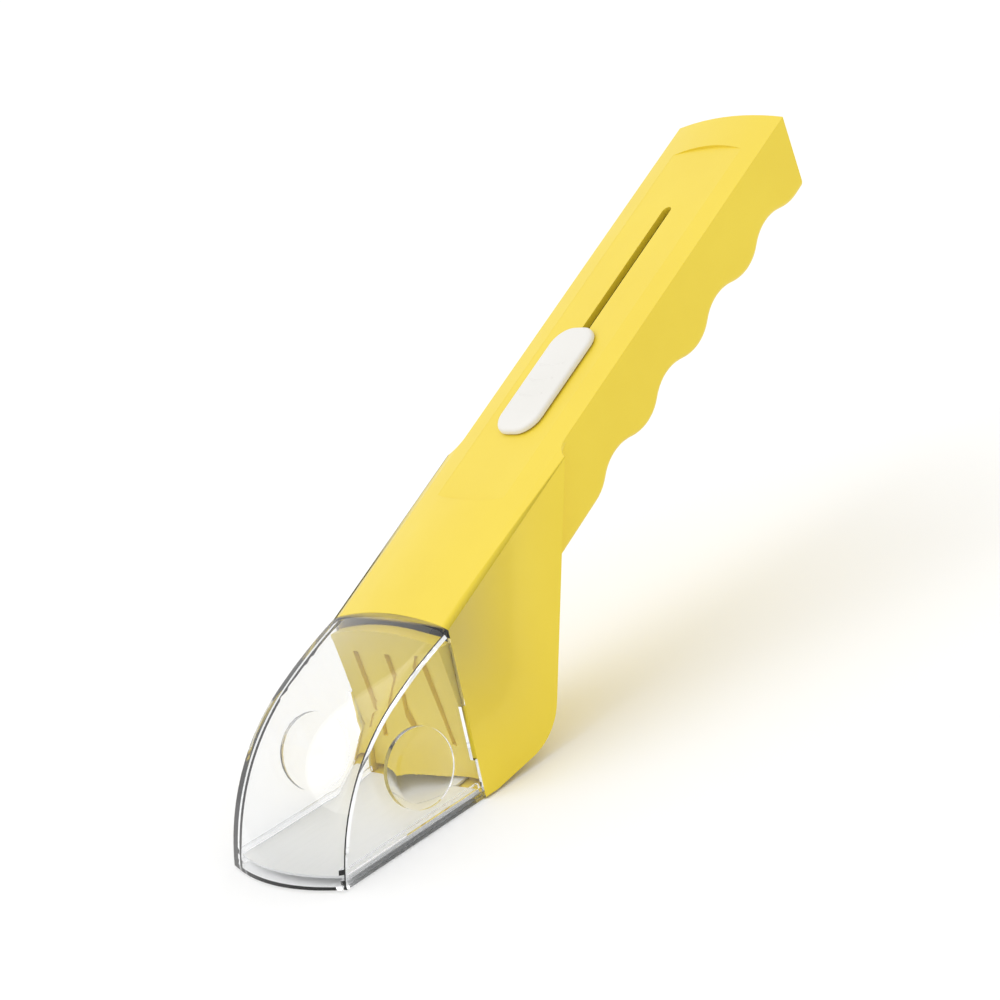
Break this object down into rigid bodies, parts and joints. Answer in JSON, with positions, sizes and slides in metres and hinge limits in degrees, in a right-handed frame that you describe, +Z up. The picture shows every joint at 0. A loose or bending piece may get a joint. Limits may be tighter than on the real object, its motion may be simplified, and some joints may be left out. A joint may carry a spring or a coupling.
{
  "type": "handheld insect catcher",
  "caption": "Handheld insect catcher: a clear curved chamber on a yellow finger-grooved grip, closed from below by a thin sliding door that a thumb slider pulls back.",
  "frame": {"origin": "middle of the sill's flat underside, on the line where the clear chamber's side walls meet the head", "axes": "+Y back towards the handle, +X across the tool, +Z up from the plane of the chamber's mouth"},
  "size_m": [0.0466, 0.2023, 0.1112],
  "materials": {
    "yellow_plastic": "satin moulded",
    "clear_plastic": "clear polished",
    "white_plastic": "off-white satin",
    "black_plastic": "satin low-friction plastic",
    "door_sheet": "pale grey sheet",
    "screw_steel": "zinc plated"
  },
  "bodies": {
    "housing": {"chamber": "clear_plastic", "lens_right": "clear_plastic", "lens_left": "clear_plastic", "grip_shell": "yellow_plastic", "top_cover": "yellow_plastic", "vent_plate": "yellow_plastic", "inner_guide": "black_plastic", "door_bend": "door_sheet", "track_left": "black_plastic", "track_right": "black_plastic", "cover_screw_front_left": "screw_steel", "cover_screw_front_right": "screw_steel", "cover_screw_rear_left": "screw_steel", "cover_screw_rear_right": "screw_steel"},
    "slider": {"carriage": "white_plastic", "thumb_button": "white_plastic", "strip_clamp": "white_plastic", "clamp_screw_left": "screw_steel", "clamp_screw_right": "screw_steel", "detent_spring": "screw_steel", "door_tail": "door_sheet"},
    "door": {"door_panel": "door_sheet"}
  },
  "joints": [
    {"name": "thumb_slide", "type": "slide", "parent": "housing", "child": "slider", "axis": [0, 0.9092, 0.4163], "range_m": [0, 0.044]},
    {"name": "door_slide", "type": "slide", "parent": "housing", "child": "door", "axis": [0, 1, 0], "range_m": [0, 0.044], "deforming": ["door_panel"]}
  ],
  "couplings": [
    {"joint": "door_slide", "follows": "thumb_slide", "ratio": 1}
  ]
}
